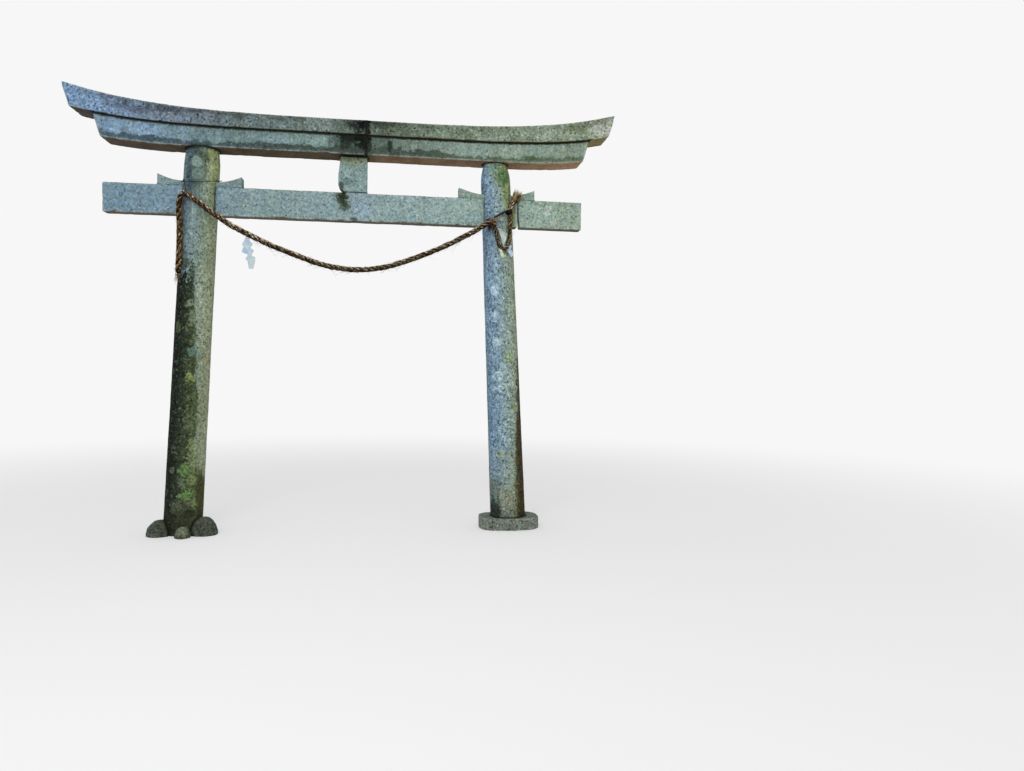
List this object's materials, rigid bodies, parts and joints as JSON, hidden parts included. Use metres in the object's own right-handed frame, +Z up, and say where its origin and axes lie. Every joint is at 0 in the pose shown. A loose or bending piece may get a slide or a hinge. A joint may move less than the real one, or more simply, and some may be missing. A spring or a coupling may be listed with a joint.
{
  "type": "stone torii gate",
  "caption": "Weathered granite torii gate with two leaning pillars, a wedged tie beam, an upswept double lintel and an old straw rope slung across it.",
  "frame": {"origin": "on the ground, midway between the two pillars", "axes": "+X along the gate to the right as seen from its front, +Z up, front faces -Y"},
  "size_m": [5.03, 0.5961, 4.0452],
  "materials": {
    "pillar_left": "weathered granite with dark algae and pale lichen",
    "pillar_right": "weathered granite with green algae and pale lichen",
    "tie_beam": "dressed granite, paler and finely speckled",
    "strut": "dressed granite with moss at its broken corner",
    "under_lintel": "granite with a damp dark band along its lower edge",
    "top_lintel": "granite speckled with lichen, with dark streaks",
    "field_stone": "rough natural boulder with moss",
    "base_stone": "worn granite slab",
    "wire": "dark rusted wire",
    "straw": "old twisted straw, weathered grey and brown",
    "dark_cord": "dark weathered hemp cord",
    "fresh_straw": "ragged yellow straw",
    "folded_paper": "damp white paper"
  },
  "bodies": {
    "root": {"left_pillar": "pillar_left", "right_pillar": "pillar_right", "tie_beam_centre": "tie_beam", "tie_beam_left_end": "tie_beam", "tie_beam_right_end": "tie_beam", "left_outer_wedge": "tie_beam", "left_inner_wedge": "tie_beam", "right_inner_wedge": "tie_beam", "right_outer_wedge": "tie_beam", "centre_strut": "strut", "under_lintel_left": "under_lintel", "under_lintel_right": "under_lintel", "top_lintel_left": "top_lintel", "top_lintel_right": "top_lintel", "left_foot_stone_outer": "field_stone", "left_foot_stone_inner": "field_stone", "left_foot_stone_front": "field_stone", "left_foot_stone_back": "field_stone", "right_base_stone": "base_stone", "tie_wire": "wire", "rope_hanger": "wire", "straw_rope": "straw", "rope_tail": "straw", "rope_loop": "straw", "rope_lump": "straw", "tie_cord": "dark_cord", "straw_knot": "fresh_straw", "paper_streamer": "folded_paper", "loop_paper": "folded_paper", "scrap_left": "folded_paper", "scrap_right": "folded_paper"}
  },
  "joints": []
}
